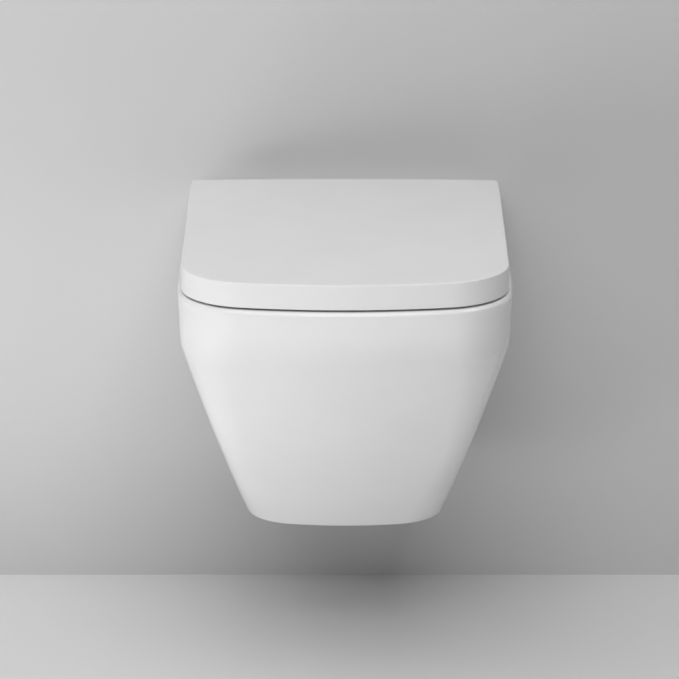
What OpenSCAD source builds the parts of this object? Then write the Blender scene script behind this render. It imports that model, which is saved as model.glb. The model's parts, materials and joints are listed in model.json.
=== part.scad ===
// Wall-hung toilet: a hollow china pan with a rimless bowl and P-trap, a
// wrap-over lid and a seat ring on soft-close hinges, and the hidden fixings.
// Millimetres, +Z up. The wall is the plane y = 0 and the pan hangs on its -y
// side, so "out" below means the distance out from the wall. The origin is
// midway between the two wall studs.

/* [Pan outside] */
// Width of the pan at its rim
pan_w = 359; // [340:1:390]
// How far the pan stands out from the wall
pan_out = 530; // [490:1:580]
// Height of the pan, underside to rim
pan_h = 318; // [310:1:350]
// Width of the pan's underside
foot_w = 220; // [200:1:250]
// How far the underside stands out from the wall
foot_out = 290; // [280:1:330]
// Radius of the rim's front edge in plan
rim_front_r = 594; // [450:1:900]
// Radius of the rim's front corners in plan
rim_corner_r = 82; // [60:1:110]
// Radius of the underside's front edge in plan
foot_front_r = 322; // [250:1:500]
// Radius of the underside's front corners in plan
foot_corner_r = 60; // [40:1:80]
// How much tighter the corners are halfway down
corner_pinch = 27; // [0:1:30]
// Height of the nearly upright band on the sides
side_band = 42; // [20:1:80]
// Draft of that band, in degrees
side_draft = 3; // [0:0.5:5]
// Radius of the bend below the side band
side_bend_r = 130; // [40:1:160]
// Height of the upright band at the front
front_band = 30; // [10:1:60]
// Radius of the bend below the front band
front_bend_r = 50; // [20:1:90]
// Rounding of the rim's outer edge
rim_edge_r = 5; // [2:0.5:8]
// Rounding of the underside's edge
foot_edge_r = 3; // [1:0.5:6]

/* [China] */
// Thickness of the china walls
china = 9; // [7:0.5:11]
// Thickness of the china under the rim's top face
rim_t = 14; // [10:1:18]
// Thickness of the back plate
back_t = 14; // [10:1:18]

/* [Bowl] */
// Width of the bowl's opening
bowl_w = 262; // [240:1:280]
// Length of the bowl's opening, front to back
bowl_l = 320; // [300:1:340]
// Middle of the bowl's opening, out from the wall
bowl_out = 315; // [305:1:325]
// Middle of the sump, out from the wall
sump_out = 240; // [230:1:250]
// Depth of the sump below the rim
sump_deep = 302; // [296:1:304]
// Radius of the waste passage
trap_r = 27; // [24:0.5:28]

/* [Wall connections] */
// Distance between the two wall studs
stud_gap = 180; // [180:1:230]
// Rim above the wall studs
rim_over_studs = 80; // [75:1:90]
// Outlet centre below the wall studs
outlet_down = 100; // [95:1:105]
// Outside radius of the outlet spigot
spigot_r = 51; // [49:0.5:52]
// Inside radius of the outlet spigot
spigot_bore_r = 45; // [42:0.5:45]
// Radius of the recess round the spigot
spigot_recess_r = 66; // [62:1:68]
// Depth of the recess round the spigot
spigot_deep = 36; // [30:1:38]
// Flush inlet centre above the wall studs
inlet_up = 35; // [32:1:36]
// Radius of the flush inlet socket
inlet_r = 28; // [26:0.5:29]
// Depth of the flush inlet socket
inlet_deep = 35; // [30:1:40]
// Radius of the flush channel behind the socket
channel_r = 20; // [16:0.5:21]

/* [Lid] */
// Inset of the lid from the rim at its front corners
lid_inset = 5.5; // [3:0.5:8]
// Inset of the lid from the front of the rim
lid_front_inset = 3.5; // [2:0.5:6]
// Radius of the lid's front corners in plan
lid_corner_r = 78.5; // [60:0.5:90]
// Taper of the lid's sides, in degrees
lid_taper = 0.4; // [0:0.1:0.6]
// Gap between the rim and the lid's lower edge
lid_gap = 2; // [1.5:0.5:3]
// Height of the lid's top edge over the hinge axis
lid_over_axis = 14; // [13.5:0.5:17]
// Rise of the top face along the lid's back edge
lid_crown = 2; // [0:0.5:4]
// Wall of the lid's apron
lid_wall = 4.5; // [3.5:0.5:5]
// Thickness of the lid's top at its edges
lid_roof = 4.5; // [3.5:0.5:5]
// Rounding of the lid's top edge
lid_edge_r = 2.5; // [1:0.5:4]

/* [Seat] */
// Underside of the seat over the rim
seat_lift = 5; // [4:0.5:6]
// Thickness of the seat
seat_t = 15; // [13:0.5:15.5]
// Gap between the seat and the lid's apron
seat_gap = 1.5; // [1:0.5:3]
// Width of the seat's opening
seat_open_w = 214; // [200:1:226]
// Length of the seat's opening
seat_open_l = 284; // [260:1:290]
// Middle of the seat's opening, out from the wall
seat_open_out = 330; // [325:1:335]

/* [Hinges] */
// Hinge axis out from the wall
axis_out = 91; // [88:1:95]
// Hinge axis over the rim
axis_up = 15.5; // [15:0.25:16]
// Lid edge behind the hinge axis
lid_tail = 9; // [7:0.5:10]
// Distance between the two hinge posts
post_gap = 155; // [145:1:160]
// Hinge posts out from the wall
post_out = 108; // [106:0.5:110]
// Radius of a hinge post
post_r = 6; // [5:0.5:6.5]
// Height of a post above its flange
post_h = 16; // [14:0.5:16]
// Width of a hinge block
block_w = 30; // [28:1:34]
// Travel of a release button
button_travel = 3; // [2:0.5:3]

/* [Hidden] */
$fn = 48;

// clearances
slip = 0.2; // pieces that only lie in each other
run = 0.08; // a pin that turns in its bore
snug = 0.03; // a pin held in its bore
rest_gap = 0.3; // a piece that rests on another
eps = 0.01;
over = 1; // how far a cut runs past the face it opens

// heights of the pan
rim_z = rim_over_studs;
foot_z = rim_z - pan_h;
outlet_z = -outlet_down;
inlet_z = inlet_up;
stud_x = stud_gap / 2;

// wall fixings
stud_bore_r = 12.7; // hole in the china
stud_bore_deep = 72;
stud_boss_r = 22;
sleeve_r = 9;
sleeve_len = 62;
m12_bore_r = 6.4; // clearance for the wall studs
m12_deep = 36;
neck_r = 7; // waist that the clamp screw bears on
neck_out = 50;
neck_len = 9;
screw_r = 4;
screw_len = 44;
guide_r = 7.8;
guide_bore_r = 8; // side bore in the china
guide_len = 22;
side_tube_r = 14;
cap_len = 12;
cap_recess = 0.4; // how far a cap's face lies under the skirt's face

// waste passage: out from the wall and height, from the sump to the spigot
trap_path = [[sump_out, foot_z + 40], [205, foot_z + 38], [115, 5 - outlet_down],
    [78, 7 - outlet_down], [38, -outlet_down]];
knee = 1.06; // the passage is this much wider where it bends
spigot_back = 4; // the spigot ends this far short of the wall
spigot_floor = 14; // china behind the recess
spigot_step = 6; // how far the spigot's wide bore runs past the recess

// hinge posts
post_x = post_gap / 2;
flange_r = 14;
flange_t = 2;
gasket_t = 1;
shank_r = 4;
shank_len = 42;
post_hole_r = 7;
post_hole_deep = 46;
post_boss_r = 16;
expand_len = 31;
cone_len = 9;
groove_r = 4.6;
groove_z = 7.4; // groove above the flange
groove_h = 2.4;
wire_r = 0.8;
clip_play = 2.6; // room for the clip round the post

// hinge blocks and knuckles
axis_z = rim_z + axis_up;
barrel_r = 8;
block_in = post_x - block_w / 2;
block_outer = post_x + block_w / 2;
block_back = 97;
block_front = 122;
block_top = axis_up + 7; // over the rim
block_base = gasket_t + flange_t + slip;
side_play = 2; // gap between a block and the knuckles beside it
knuckle_w = 36;
lid_knuckle_r = 9.4;
seat_knuckle_r = 8.4;
knuckle_step = 2; // the seat's knuckle arms lie this far under its top
pin_r = 4;
pin_grip = 10; // length of a pin inside its block
pin_reach = 24; // length of a pin outside its block
damper_r = 6.4;
damper_len = 33;
rotor_r = 3;
rotor_grip = 18;
rotor_reach = 26;

// release buttons
button_w = 13;
button_h = 7;
button_z = 8; // over the rim
button_out = 125.5; // front face
button_back = 118.3;
nose_w = 12;
nose_h = 1.6;
nose_len = 1.2;

// seat and lid
seat_z = rim_z + seat_lift;
seat_top_z = seat_z + seat_t;
lid_z = rim_z + lid_gap;
lid_top_z = axis_z + lid_over_axis;
lid_under_z = lid_top_z - lid_roof;
lid_back = axis_out - lid_tail;
lid_front = pan_out - lid_front_inset;
lid_half = pan_w / 2 - lid_inset;
lid_front_r = rim_front_r - lid_front_inset;
seat_half = lid_half - lid_wall - seat_gap;
seat_front = lid_front - lid_wall - seat_gap;
seat_back = 106;
seat_front_r = lid_front_r - lid_wall - seat_gap;
seat_corner_r = lid_corner_r - lid_wall - seat_gap;
seat_open_e = 2.3; // how square the seat's opening is; 2 is an ellipse
notch_front = 128;
buffer_h = seat_lift - rest_gap;
lid_buffer_h = lid_under_z - seat_top_z - rest_gap;
buffer_stem_r = 3;
buffer_stem_h = 5;
lid_stem_h = 1.8; // stems of the pads under the lid
lid_stem_hole = 2; // depth of their holes
seat_pad = [11, 26]; // width and length of the pads under the seat
lid_pad = [10, 18];
seat_buffer_at = [[150, 215], [112, 452]];
lid_buffer_at = [[148, 240], [96, 478]];

// ---- outlines ----

// points on an arc; the angle runs from straight out (0) to sideways (90)
function arc(cx, cy, r, a0, a1, n) =
    [for (i = [0 : n]) let (a = a0 + (a1 - a0) * i / n) [cx + r * sin(a), cy - r * cos(a)]];

// both halves of an outline from its right half, which starts at x = 0
function both(pts) = concat(pts, [for (i = [len(pts) - 1 : -1 : 1]) [-pts[i].x, pts[i].y]]);

// D outline: front arc, corner arc and side; half_w is measured where the corner ends
function d_outline(half_w, front, back, front_r, corner_r, taper = 0, nf = 4, nc = 8) =
    let (a = asin((half_w - corner_r * cos(taper)) / (front_r - corner_r)),
        cx = (front_r - corner_r) * sin(a),
        cy = front_r - front - (front_r - corner_r) * cos(a),
        side_y = cy - corner_r * sin(taper))
    both(concat(arc(0, front_r - front, front_r, 0, a, nf),
        [for (i = [1 : nc]) arc(cx, cy, corner_r, a, 90 - taper, nc)[i]],
        [[half_w + (-back - side_y) * tan(taper), -back]]));

// rounded oval for the bowl and the seat's opening
function oval(half_w, half_l, out, n = 36, e = 2.4) =
    [for (i = [0 : n - 1]) let (a = 360 * i / n)
        [half_w * sign(cos(a)) * pow(abs(cos(a)), 2 / e),
            -out + half_l * sign(sin(a)) * pow(abs(sin(a)), 2 / e)]];

// ---- pan body ----

// distance of a wall from the middle at depth h: a drafted band, a bend, then
// a straight run that ends at the foot
function wall_run(h, top, foot, draft, band, bend) =
    let (cw = top - band * tan(draft) - bend * cos(draft),
        ch = band - bend * sin(draft),
        reach = [foot - cw, pan_h - ch],
        lean = atan2(reach.y, reach.x) - acos(bend / norm(reach)),
        bend_end = ch + bend * sin(lean))
    h <= band ? top - h * tan(draft)
    : h < bend_end ? cw + sqrt(bend * bend - (h - ch) * (h - ch))
    : foot + (pan_h - h) * tan(lean);

function half_at(h) = wall_run(h, pan_w / 2, foot_w / 2, side_draft, side_band, side_bend_r);
function out_at(h) = wall_run(h, pan_out, foot_out, 0, front_band, front_bend_r);

// section of the pan at depth h, drawn in by inset
function pan_section(h, inset, back) =
    let (half_w = half_at(h),
        k = (half_w - foot_w / 2) / (pan_w / 2 - foot_w / 2),
        front_r = foot_front_r + (rim_front_r - foot_front_r) * k,
        corner_r = foot_corner_r + (rim_corner_r - foot_corner_r) * k - corner_pinch * 4 * k * (1 - k))
    d_outline(half_w - inset, out_at(h) - inset, back, front_r - inset, corner_r - inset);

module slab(pts, z) {
    translate([0, 0, z])
        linear_extrude(eps)
            polygon(pts);
}

edge_steps = [0, 0.3, 1];
body_depths = [16, side_band, side_band + 14, side_band + 32, 100, 160, 235];

module pan_outside() {
    hull() {
        for (s = edge_steps)
            slab(pan_section(rim_edge_r * s, rim_edge_r * (1 - sqrt(s * (2 - s))), 0),
                rim_z - rim_edge_r * s - (s == 0 ? eps : 0));
        for (h = body_depths)
            slab(pan_section(h, 0, 0), rim_z - h);
        slab(pan_section(pan_h - foot_edge_r, 0, 0), foot_z + foot_edge_r);
        slab(pan_section(pan_h, foot_edge_r * 0.8, 0), foot_z);
    }
}

module pan_hollow() {
    hull()
        for (h = [rim_t, side_band, side_band + 30, 100, 200, pan_h - china])
            slab(pan_section(h, china, back_t), rim_z - h);
}

// bowl sections: depth below the rim, and shares of the opening's width and length
bowl_steps = [[-over, 1, 1], [4, 1, 1], [30, 0.985, 0.985], [80, 0.9, 0.91], [140, 0.73, 0.72],
    [200, 0.56, 0.53], [250, 0.42, 0.38], [285, 0.31, 0.26], [sump_deep, 0.15, 0.12]];

// the bowl, or the china round it when it is grown
module bowl_form(grow) {
    hull()
        for (s = bowl_steps) {
            drift = pow(max(s[0], 0) / sump_deep, 1.3);
            top = grow > 0 ? over : -over;
            deep = s[0] < 0 ? top : s[0] == sump_deep ? sump_deep + grow : s[0];
            slab(oval(bowl_w / 2 * s[1] + grow, bowl_l / 2 * s[2] + grow,
                bowl_out + (sump_out - bowl_out) * drift), rim_z - deep);
        }
}

// a cylinder that runs out from the wall
module out_rod(x, z, from, to, r) {
    translate([x, -from, z])
        rotate([90, 0, 0])
            cylinder(h = to - from, r = r);
}

// a flat shape drawn in y and z, run along x
module along_x(from, to) {
    translate([from, 0, 0])
        rotate([90, 0, 90])
            linear_extrude(to - from)
                children();
}

// a cylinder that runs along x
module side_rod(from, to, out, z, r) {
    translate([from, -out, z])
        rotate([0, 90, 0])
            cylinder(h = to - from, r = r);
}

module trap_tube(r) {
    for (i = [0 : len(trap_path) - 2])
        translate([0, -trap_path[i].x, trap_path[i].y])
            sphere(r = r * knee);
    for (i = [0 : len(trap_path) - 2]) {
        a = trap_path[i];
        b = trap_path[i + 1];
        translate([0, -a.x, a.y])
            rotate([atan2(b.x - a.x, b.y - a.y), 0, 0])
                cylinder(h = norm(b - a), r = r);
    }
}

channel_end = 185;
channel_t = 8; // china round the flush channel

module pan_inner_china() {
    bowl_form(china);
    trap_tube(trap_r + china);
    out_rod(0, outlet_z, 0, spigot_deep + spigot_floor, spigot_recess_r + china);
    out_rod(0, inlet_z, 0, inlet_deep + china, inlet_r + china);
    out_rod(0, inlet_z, 0, channel_end, channel_r + channel_t);
    for (s = [-1, 1]) {
        out_rod(s * stud_x, 0, 0, stud_bore_deep + china, stud_boss_r);
        mirror([s < 0 ? 1 : 0, 0, 0])
            side_rod(stud_x, pan_w / 2, neck_out, 0, side_tube_r);
        translate([s * post_x, -post_out, rim_z - post_hole_deep - china])
            cylinder(h = post_hole_deep, r = post_boss_r);
    }
}

module ceramic_pan() {
    color("white")
        difference() {
            pan_outside();
            difference() {
                pan_hollow();
                pan_inner_china();
            }
            bowl_form(0);
            trap_tube(trap_r);
            // recess round the spigot, and the spigot's end
            difference() {
                out_rod(0, outlet_z, -over, spigot_deep, spigot_recess_r);
                out_rod(0, outlet_z, spigot_back, spigot_deep + over, spigot_r);
            }
            out_rod(0, outlet_z, -over, spigot_deep + spigot_step, spigot_bore_r);
            out_rod(0, inlet_z, -over, inlet_deep, inlet_r);
            out_rod(0, inlet_z, inlet_deep - over, channel_end, channel_r);
            for (s = [-1, 1]) {
                out_rod(s * stud_x, 0, -over, stud_bore_deep, stud_bore_r);
                mirror([s < 0 ? 1 : 0, 0, 0])
                    side_rod(stud_x, pan_w / 2 + over, neck_out, 0, guide_bore_r);
                translate([s * post_x, -post_out, rim_z - post_hole_deep])
                    cylinder(h = post_hole_deep + over, r = post_hole_r);
            }
        }
}

// white plastic insert that spreads the flush water round the bowl
module flush_distributor() {
    plate_w = 58;
    plate_h = 30;
    plate_t = 3;
    tube_t = 2;
    tube_back = 128;
    face = 178; // back of the plate that turns the water aside
    slot_w = 8;
    color("whitesmoke")
        difference() {
            union() {
                out_rod(0, inlet_z, tube_back, face, channel_r - slip);
                translate([-plate_w / 2, -face - plate_t, inlet_z - plate_h / 2])
                    cube([plate_w, plate_t, plate_h]);
            }
            out_rod(0, inlet_z, tube_back - over, face - slot_w, channel_r - slip - tube_t);
            translate([-channel_r - over, -face, inlet_z - plate_h / 3])
                cube([2 * channel_r + 2 * over, slot_w + over, plate_h * 2 / 3]);
        }
}

// ---- wall fixings ----

module stud_sleeves() {
    color("silver")
        for (x = [-stud_x, stud_x])
            difference() {
                out_rod(x, 0, 0, sleeve_len, sleeve_r);
                out_rod(x, 0, -over, m12_deep, m12_bore_r);
                // waist for the clamp screw
                difference() {
                    out_rod(x, 0, neck_out - neck_len / 2, neck_out + neck_len / 2, sleeve_r + over);
                    out_rod(x, 0, neck_out - neck_len, neck_out + neck_len, neck_r);
                }
            }
}

module fixing_bushes() {
    color("gainsboro")
        for (s = [-1, 1])
            mirror([s < 0 ? 1 : 0, 0, 0])
                difference() {
                    out_rod(stud_x, 0, 1, stud_bore_deep - over, stud_bore_r - slip);
                    out_rod(stud_x, 0, 0, stud_bore_deep + over, sleeve_r + slip);
                    side_rod(stud_x, stud_x + stud_boss_r, neck_out, 0, screw_r + slip);
                }
}

guide_in = 4; // gap between the stud's bore and a guide
guide_x = stud_x + stud_bore_r + guide_in;

module screw_guides() {
    color("goldenrod")
        for (s = [-1, 1])
            mirror([s < 0 ? 1 : 0, 0, 0])
                difference() {
                    side_rod(guide_x, guide_x + guide_len, neck_out, 0, guide_r);
                    side_rod(guide_x - over, guide_x + guide_len + over, neck_out, 0, screw_r + slip);
                }
}

module clamp_screws() {
    hex_r = 2.3;
    hex_deep = 5;
    tip_x = stud_x + neck_r + rest_gap;
    color("dimgray")
        for (s = [-1, 1])
            mirror([s < 0 ? 1 : 0, 0, 0])
                difference() {
                    side_rod(tip_x, tip_x + screw_len, neck_out, 0, screw_r);
                    translate([tip_x + screw_len - hex_deep, -neck_out, 0])
                        rotate([0, 90, 0])
                            cylinder(h = hex_deep + over, r = hex_r, $fn = 6);
                }
}

module side_caps() {
    face_x = half_at(rim_z) - cap_recess;
    rim_face = 1.5; // thickness of the cap's outer disc
    bore = 5.5;
    color("white")
        for (s = [-1, 1])
            mirror([s < 0 ? 1 : 0, 0, 0])
                intersection() {
                    difference() {
                        side_rod(face_x - cap_len, pan_w / 2, neck_out, 0, guide_bore_r - slip);
                        side_rod(face_x - cap_len - over, face_x - 3 * rim_face, neck_out, 0, bore);
                    }
                    translate([-cap_recess, 0, 0])
                        pan_outside();
                }
}

// ---- hinge fixings in the pan ----

module at_posts() {
    for (x = [-post_x, post_x])
        translate([x, -post_out, rim_z])
            children();
}

module hinge_posts() {
    flange_top = gasket_t + flange_t;
    chamfer = 1;
    color("silver")
        at_posts()
            difference() {
                union() {
                    translate([0, 0, gasket_t])
                        cylinder(h = flange_t, r = flange_r);
                    translate([0, 0, -shank_len])
                        cylinder(h = shank_len + gasket_t + eps, r = shank_r);
                    translate([0, 0, flange_top - eps])
                        cylinder(h = post_h - chamfer + eps, r = post_r);
                    translate([0, 0, flange_top + post_h - chamfer])
                        cylinder(h = chamfer, r1 = post_r, r2 = post_r - chamfer);
                }
                translate([0, 0, flange_top + groove_z])
                    difference() {
                        cylinder(h = groove_h, r = post_r + over);
                        translate([0, 0, -over])
                            cylinder(h = groove_h + 2 * over, r = groove_r);
                    }
            }
}

module post_gaskets() {
    color("dimgray")
        at_posts()
            difference() {
                cylinder(h = gasket_t, r = flange_r);
                translate([0, 0, -over])
                    cylinder(h = gasket_t + 2 * over, r = shank_r + slip);
            }
}

module expansion_sleeves() {
    color("dimgray")
        at_posts()
            translate([0, 0, -expand_len - rest_gap])
                difference() {
                    cylinder(h = expand_len, r = post_hole_r - slip);
                    translate([0, 0, -over])
                        cylinder(h = expand_len + 2 * over, r = shank_r + slip);
                }
}

module expansion_nuts() {
    color("goldenrod")
        at_posts()
            translate([0, 0, -expand_len - cone_len - 2 * rest_gap])
                difference() {
                    cylinder(h = cone_len, r = post_hole_r - 2 * slip);
                    translate([0, 0, -over])
                        cylinder(h = cone_len + 2 * over, r = shank_r + snug);
                }
}

// ---- hinge unit: blocks, pins, clips and buttons ----

// one block, drawn on the right; the bores for what turns in it go in as children
module hinge_block() {
    pocket_w = button_w + 2 * slip;
    pocket_back = button_back - button_travel - slip;
    clip_slot = groove_h - 2 * slip;
    clip_half = post_r + clip_play;
    clip_back = post_out - clip_half - wire_r;
    difference() {
        union() {
            side_rod(block_in, block_outer, axis_out, axis_z, barrel_r);
            translate([block_in, -block_front, rim_z + block_base])
                cube([block_w, block_front - block_back, block_top - block_base]);
            translate([block_in, -block_back - eps, axis_z - barrel_r + 1])
                cube([block_w, block_back - axis_out + eps, rim_z + block_top - axis_z + barrel_r - 1]);
        }
        // bore for the post
        translate([post_x, -post_out, rim_z])
            cylinder(h = gasket_t + flange_t + post_h + over, r = post_r + run);
        // pocket for the button
        translate([post_x - pocket_w / 2, -block_front - over, rim_z + button_z - slip])
            cube([pocket_w, block_front - pocket_back + over, button_h + 2 * slip]);
        // slot for the wire clip
        translate([post_x - clip_half, -pocket_back - over, rim_z + gasket_t + flange_t + groove_z + slip])
            cube([2 * clip_half, pocket_back - clip_back + over, clip_slot]);
        children();
    }
}

module hinge_block_left() {
    color("silver")
        mirror([1, 0, 0])
            hinge_block() {
                side_rod(block_in - over, block_in + rotor_grip + slip, axis_out, axis_z, rotor_r + snug);
                side_rod(block_outer - pin_grip - slip, block_outer + over, axis_out, axis_z, pin_r + snug);
            }
}

module hinge_block_right() {
    color("silver")
        hinge_block() {
            side_rod(block_outer - rotor_grip - slip, block_outer + over, axis_out, axis_z, rotor_r + snug);
            side_rod(block_in - over, block_in + pin_grip + slip, axis_out, axis_z, pin_r + snug);
        }
}

module hinge_pins() {
    color("silver") {
        side_rod(-block_outer - pin_reach, -block_outer + pin_grip, axis_out, axis_z, pin_r);
        side_rod(block_in - pin_reach, block_in + pin_grip, axis_out, axis_z, pin_r);
    }
}

module spring_clips() {
    ring_r = groove_r + wire_r + slip / 2;
    leg = button_back - nose_len - rest_gap - post_out;
    color("lightgray")
        at_posts()
            translate([0, 0, gasket_t + flange_t + groove_z + groove_h / 2]) {
                rotate_extrude(angle = 180)
                    translate([ring_r, 0])
                        circle(r = wire_r, $fn = 16);
                for (x = [-ring_r, ring_r])
                    translate([x, 0, 0])
                        rotate([90, 0, 0])
                            cylinder(h = leg, r = wire_r, $fn = 16);
            }
}

// a button, drawn on the right
module release_button() {
    edge = 1;
    translate([post_x, 0, rim_z + button_z + button_h / 2]) {
        translate([-button_w / 2, -button_out + edge, -button_h / 2])
            cube([button_w, button_out - edge - button_back, button_h]);
        translate([-button_w / 2 + edge, -button_out, -button_h / 2 + edge])
            cube([button_w - 2 * edge, edge + eps, button_h - 2 * edge]);
        translate([-nose_w / 2, -button_back - eps, -nose_h / 2])
            cube([nose_w, nose_len + eps, nose_h]);
    }
}

module release_button_left() {
    color("gray")
        mirror([1, 0, 0])
            release_button();
}

module release_button_right() {
    color("gray")
        release_button();
}

// ---- seat ----

module seat_outline() {
    difference() {
        polygon(d_outline(seat_half, seat_front, seat_back, seat_front_r, seat_corner_r, lid_taper));
        polygon(oval(seat_open_w / 2, seat_open_l / 2, seat_open_out, 48, seat_open_e));
        // notches for the hinge blocks
        for (s = [-1, 1])
            translate([s * post_x - block_w / 2 - side_play, -notch_front])
                square([block_w + 2 * side_play, notch_front]);
    }
}

module seat_knuckle(from) {
    side_rod(from, from + knuckle_w, axis_out, axis_z, seat_knuckle_r);
    translate([from, -seat_back - over, axis_z - seat_knuckle_r])
        cube([knuckle_w, seat_back + over - axis_out, seat_top_z - axis_z + seat_knuckle_r - knuckle_step]);
}

module seat_ring() {
    knuckle_in = block_in - side_play - knuckle_w;
    color("white")
        difference() {
            union() {
                translate([0, 0, seat_z])
                    linear_extrude(seat_t)
                        seat_outline();
                seat_knuckle(knuckle_in);
                seat_knuckle(-knuckle_in - knuckle_w);
            }
            side_rod(-block_in, -block_in + side_play + damper_len + slip, axis_out, axis_z, damper_r + slip / 2);
            side_rod(block_in - pin_reach - over, block_in, axis_out, axis_z, pin_r + run);
            for (at = seat_buffer_at, s = [-1, 1])
                translate([s * at.x, -at.y, seat_z - over])
                    cylinder(h = buffer_stem_h + slip + over, r = buffer_stem_r + slip / 2);
        }
}

module buffer_pad(w, l, h) {
    r = w / 2;
    linear_extrude(h)
        union() {
            for (y = [r - l / 2, l / 2 - r])
                translate([0, y])
                    circle(r = r);
            square([w, l - w], center = true);
        }
}

module seat_buffers() {
    color("gainsboro")
        for (at = seat_buffer_at, s = [-1, 1])
            translate([s * at.x, -at.y, rim_z + rest_gap]) {
                buffer_pad(seat_pad.x, seat_pad.y, buffer_h);
                cylinder(h = buffer_h + buffer_stem_h, r = buffer_stem_r);
            }
}

// a damper's body: a cup that its rotor turns in, with its mouth at open_at
module damper_cup(from, to, open_at) {
    floor_t = 4;
    difference() {
        side_rod(from, to, axis_out, axis_z, damper_r);
        side_rod(open_at == to ? from + floor_t : from - over, open_at == to ? to + over : to - floor_t,
            axis_out, axis_z, rotor_r + run);
    }
}

module seat_damper() {
    color("dimgray")
        damper_cup(-block_in + side_play, -block_in + side_play + damper_len, -block_in + side_play);
}

module seat_damper_rotor() {
    color("silver")
        side_rod(-block_in - rotor_grip, -block_in + rotor_reach, axis_out, axis_z, rotor_r);
}

// ---- lid ----

// lid outline drawn in by inset
function lid_section(inset) =
    d_outline(lid_half - inset, lid_front - inset, lid_back, lid_front_r - inset, lid_corner_r - inset,
        lid_taper, 6, 10);

module lid_shell() {
    crown_steps = 6;
    back_half = lid_half + (lid_front - lid_corner_r - lid_back) * tan(lid_taper) - lid_edge_r;
    crown_r = 1;
    difference() {
        union() {
            translate([0, 0, lid_z])
                linear_extrude(lid_top_z - lid_edge_r - lid_z)
                    polygon(lid_section(0));
            hull() {
                slab(lid_section(0), lid_top_z - lid_edge_r);
                slab(lid_section(lid_edge_r * 0.3), lid_top_z - lid_edge_r * 0.3);
                slab(lid_section(lid_edge_r), lid_top_z - eps);
                // crown of the back edge
                for (i = [-crown_steps : crown_steps])
                    translate([i / crown_steps * back_half, -lid_back - 2 * crown_r, lid_top_z])
                        cylinder(h = lid_crown * (1 - pow(i / crown_steps, 2)) + eps, r = crown_r, $fn = 4);
            }
        }
        // hollow under the roof, open at the back
        translate([0, 0, lid_z - over])
            linear_extrude(lid_under_z - lid_z + over)
                polygon(lid_section(lid_wall));
        translate([-lid_half + lid_wall, -lid_back - over, lid_z - over])
            cube([2 * (lid_half - lid_wall), 2 * over, lid_under_z - lid_z + over]);
        // round the apron's lower back corner so that it clears the rim as the lid turns
        along_x(-pan_w / 2, pan_w / 2)
            translate([-axis_out, axis_z])
                difference() {
                    translate([0, -2 * axis_up])
                        square([2 * axis_up, 2 * axis_up]);
                    circle(r = axis_up - 2 * rest_gap, $fn = 96);
                }
    }
}

module lid_knuckle(from) {
    side_rod(from, from + knuckle_w, axis_out, axis_z, lid_knuckle_r);
    translate([from, -axis_out - lid_knuckle_r + 1, axis_z])
        cube([knuckle_w, 2 * lid_knuckle_r - 2, lid_under_z - axis_z + eps]);
}

module lid() {
    knuckle_from = block_outer + side_play;
    color("white")
        difference() {
            union() {
                lid_shell();
                lid_knuckle(knuckle_from);
                lid_knuckle(-knuckle_from - knuckle_w);
            }
            side_rod(block_outer, knuckle_from + damper_len + slip, axis_out, axis_z, damper_r + slip / 2);
            side_rod(-block_outer - pin_reach - over, -block_outer, axis_out, axis_z, pin_r + run);
            for (at = lid_buffer_at, s = [-1, 1])
                translate([s * at.x, -at.y, lid_under_z - over])
                    cylinder(h = over + lid_stem_hole, r = buffer_stem_r + slip / 2);
        }
}

module lid_buffers() {
    color("gainsboro")
        for (at = lid_buffer_at, s = [-1, 1])
            translate([s * at.x, -at.y, seat_top_z + rest_gap]) {
                buffer_pad(lid_pad.x, lid_pad.y, lid_buffer_h);
                cylinder(h = lid_buffer_h + lid_stem_h, r = buffer_stem_r);
            }
}

module lid_damper() {
    from = block_outer + side_play;
    color("dimgray")
        damper_cup(from, from + damper_len, from);
}

module lid_damper_rotor() {
    color("silver")
        side_rod(block_outer - rotor_grip, block_outer + rotor_reach, axis_out, axis_z, rotor_r);
}

ceramic_pan();
flush_distributor();
stud_sleeves();
fixing_bushes();
screw_guides();
clamp_screws();
side_caps();
hinge_posts();
post_gaskets();
expansion_sleeves();
expansion_nuts();
hinge_block_left();
hinge_block_right();
hinge_pins();
spring_clips();
release_button_left();
release_button_right();
seat_ring();
seat_buffers();
seat_damper();
seat_damper_rotor();
lid();
lid_buffers();
lid_damper();
lid_damper_rotor();
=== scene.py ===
import json
import math

import bmesh
import bpy
import numpy as np
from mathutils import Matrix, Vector


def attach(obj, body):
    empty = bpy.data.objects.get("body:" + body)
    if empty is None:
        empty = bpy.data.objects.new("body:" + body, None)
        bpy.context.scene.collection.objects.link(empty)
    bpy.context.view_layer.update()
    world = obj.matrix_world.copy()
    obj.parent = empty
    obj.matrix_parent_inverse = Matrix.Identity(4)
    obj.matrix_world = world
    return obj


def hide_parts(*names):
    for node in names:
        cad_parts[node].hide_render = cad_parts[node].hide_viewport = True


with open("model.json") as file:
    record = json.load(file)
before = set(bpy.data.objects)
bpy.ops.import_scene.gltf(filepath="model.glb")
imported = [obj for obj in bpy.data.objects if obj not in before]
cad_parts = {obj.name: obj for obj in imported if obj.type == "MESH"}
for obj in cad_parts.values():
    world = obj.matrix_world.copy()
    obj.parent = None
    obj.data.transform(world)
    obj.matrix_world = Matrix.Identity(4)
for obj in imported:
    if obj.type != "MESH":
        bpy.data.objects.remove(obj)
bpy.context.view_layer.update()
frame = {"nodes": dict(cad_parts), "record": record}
MM = 0.001

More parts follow.
